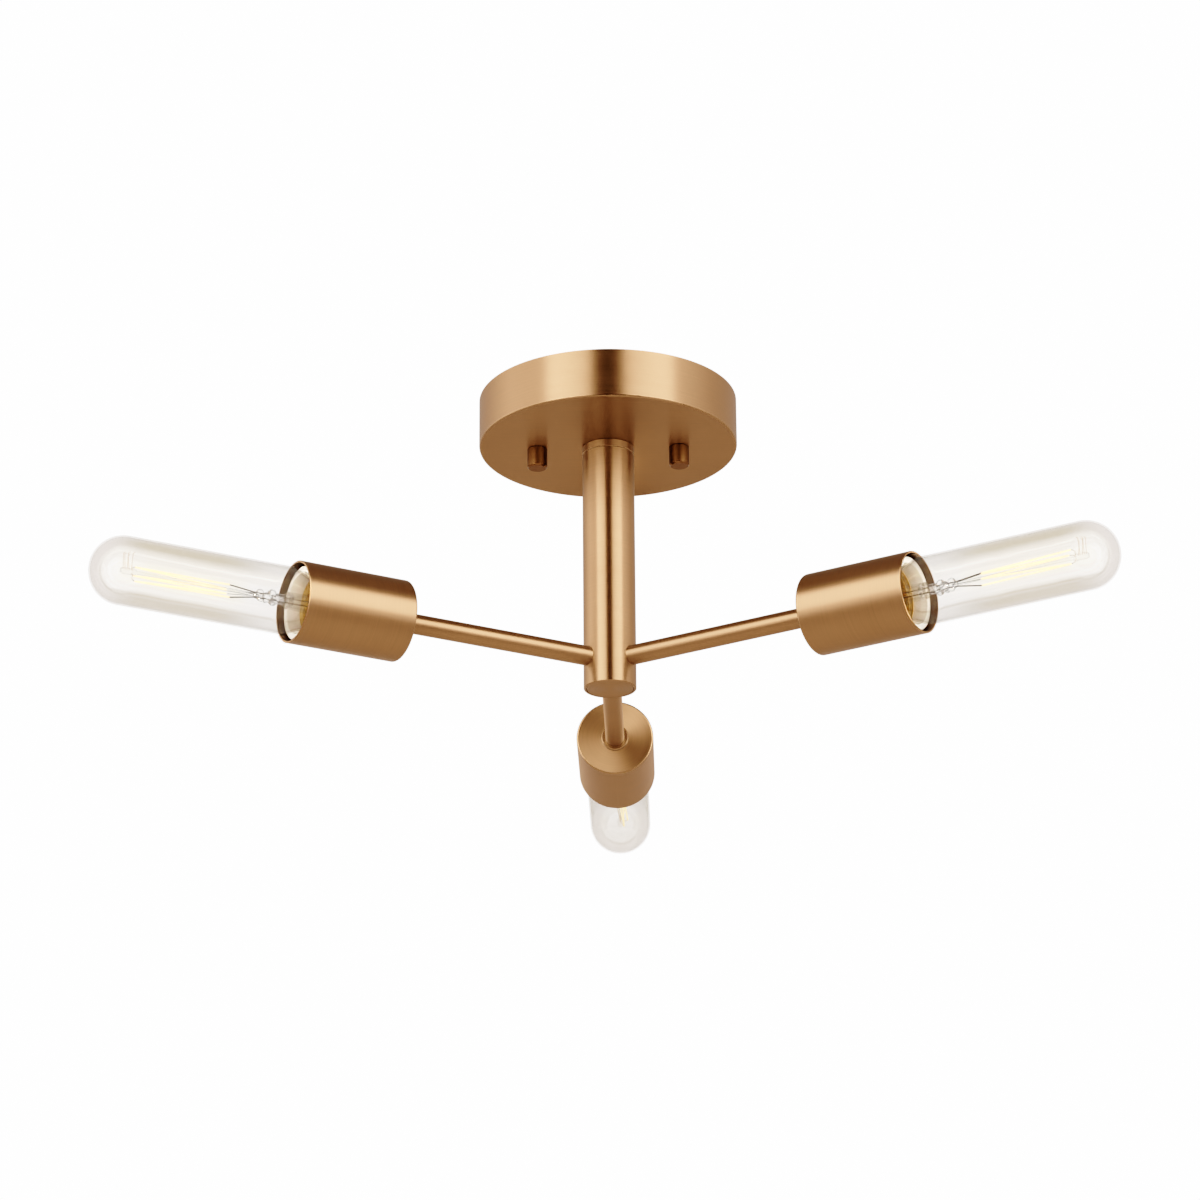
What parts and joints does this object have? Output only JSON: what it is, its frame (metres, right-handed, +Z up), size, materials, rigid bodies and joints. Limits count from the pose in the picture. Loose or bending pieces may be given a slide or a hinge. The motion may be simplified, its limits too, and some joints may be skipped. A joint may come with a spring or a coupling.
{
  "type": "semi flush ceiling light",
  "caption": "Semi flush ceiling light in satin brass: a round canopy and short stem carry level arms whose open cup sockets hold clear tubular bulbs.",
  "frame": {"origin": "centre of the ceiling plane, at the top face of the mounting strap and the canopy rim", "axes": "+Z up into the ceiling; the strap and the finial nuts lie along X; the rear arm points to +Y"},
  "size_m": [0.4702, 0.4115, 0.1591],
  "materials": {
    "satin_brass": "satin brushed",
    "zinc_steel": "zinc plated",
    "porcelain": "white glaze",
    "socket_brass": "bright rolled",
    "lamp_base_brass": "bright rolled",
    "black_insulator": "black glass",
    "solder_tip": "solder",
    "bulb_glass": "clear",
    "mount_glass": "clear",
    "support_wire": "oxidised",
    "filament": "glowing",
    "black_wire": "smooth insulation",
    "white_wire": "smooth insulation",
    "connector_plastic": "moulded",
    "green_screw": "dyed zinc",
    "copper": "bare copper"
  },
  "bodies": {
    "fixture": {"arm_lock_nuts": "zinc_steel", "arm_rings": "satin_brass", "arm_tube_left": "satin_brass", "arm_tube_rear": "satin_brass", "arm_tube_right": "satin_brass", "canopy": "satin_brass", "centre_contact_left": "socket_brass", "centre_contact_rear": "socket_brass", "centre_contact_right": "socket_brass", "ground_screw": "green_screw", "ground_wire": "copper", "mounting_strap": "zinc_steel", "mounting_studs": "zinc_steel", "nipple_lock_washer": "zinc_steel", "nipple_nut": "zinc_steel", "screw_shell_left": "socket_brass", "screw_shell_rear": "socket_brass", "screw_shell_right": "socket_brass", "socket_body_left": "porcelain", "socket_body_rear": "porcelain", "socket_body_right": "porcelain", "socket_cup_left": "satin_brass", "socket_cup_rear": "satin_brass", "socket_cup_right": "satin_brass", "socket_straps": "zinc_steel", "stem_collar": "satin_brass", "stem_end_plug": "satin_brass", "stem_tube": "satin_brass", "strap_screws": "zinc_steel", "stud_lock_nuts": "zinc_steel", "threaded_nipple": "zinc_steel", "wire_connectors": "connector_plastic", "wires_black": "black_wire", "wires_white": "white_wire"},
    "finial_nut_left": {"finial_nut_left": "satin_brass"},
    "finial_nut_right": {"finial_nut_right": "satin_brass"},
    "bulb_rear_tip": {"bulb_rear_contact_tip": "solder_tip"},
    "bulb_rear": {"bulb_rear_glass": "bulb_glass", "bulb_rear_screw_base": "lamp_base_brass", "bulb_rear_insulator": "black_insulator", "bulb_rear_glass_mount": "mount_glass", "bulb_rear_support_wires": "support_wire", "bulb_rear_filament": "filament"},
    "bulb_left_tip": {"bulb_left_contact_tip": "solder_tip"},
    "bulb_left": {"bulb_left_glass": "bulb_glass", "bulb_left_screw_base": "lamp_base_brass", "bulb_left_insulator": "black_insulator", "bulb_left_glass_mount": "mount_glass", "bulb_left_support_wires": "support_wire", "bulb_left_filament": "filament"},
    "bulb_right_tip": {"bulb_right_contact_tip": "solder_tip"},
    "bulb_right": {"bulb_right_glass": "bulb_glass", "bulb_right_screw_base": "lamp_base_brass", "bulb_right_insulator": "black_insulator", "bulb_right_glass_mount": "mount_glass", "bulb_right_support_wires": "support_wire", "bulb_right_filament": "filament"}
  },
  "joints": [
    {"name": "finial_nut_left_off", "type": "slide", "parent": "fixture", "child": "finial_nut_left", "axis": [0, 0, -1], "range_m": [0, 0.009]},
    {"name": "finial_nut_right_off", "type": "slide", "parent": "fixture", "child": "finial_nut_right", "axis": [0, 0, -1], "range_m": [0, 0.009]},
    {"name": "bulb_rear_travel", "type": "slide", "parent": "fixture", "child": "bulb_rear_tip", "axis": [0, 1, 0], "range_m": [0, 0.02541]},
    {"name": "bulb_rear_turn", "type": "hinge", "parent": "bulb_rear_tip", "child": "bulb_rear", "pos_m": [0, 0.131, -0.136], "axis": [0, 1, 0], "range_deg": [0, 2520]},
    {"name": "bulb_left_travel", "type": "slide", "parent": "fixture", "child": "bulb_left_tip", "axis": [-0.866, -0.5, 0], "range_m": [0, 0.02541]},
    {"name": "bulb_left_turn", "type": "hinge", "parent": "bulb_left_tip", "child": "bulb_left", "pos_m": [-0.11345, -0.0655, -0.136], "axis": [-0.866, -0.5, 0], "range_deg": [0, 2520]},
    {"name": "bulb_right_travel", "type": "slide", "parent": "fixture", "child": "bulb_right_tip", "axis": [0.866, -0.5, 0], "range_m": [0, 0.02541]},
    {"name": "bulb_right_turn", "type": "hinge", "parent": "bulb_right_tip", "child": "bulb_right", "pos_m": [0.11345, -0.0655, -0.136], "axis": [0.866, -0.5, 0], "range_deg": [0, 2520]}
  ],
  "couplings": [
    {"joint": "bulb_rear_travel", "follows": "bulb_rear_turn", "m_per_rad": 0.00057757},
    {"joint": "bulb_left_travel", "follows": "bulb_left_turn", "m_per_rad": 0.00057757},
    {"joint": "bulb_right_travel", "follows": "bulb_right_turn", "m_per_rad": 0.00057757}
  ]
}
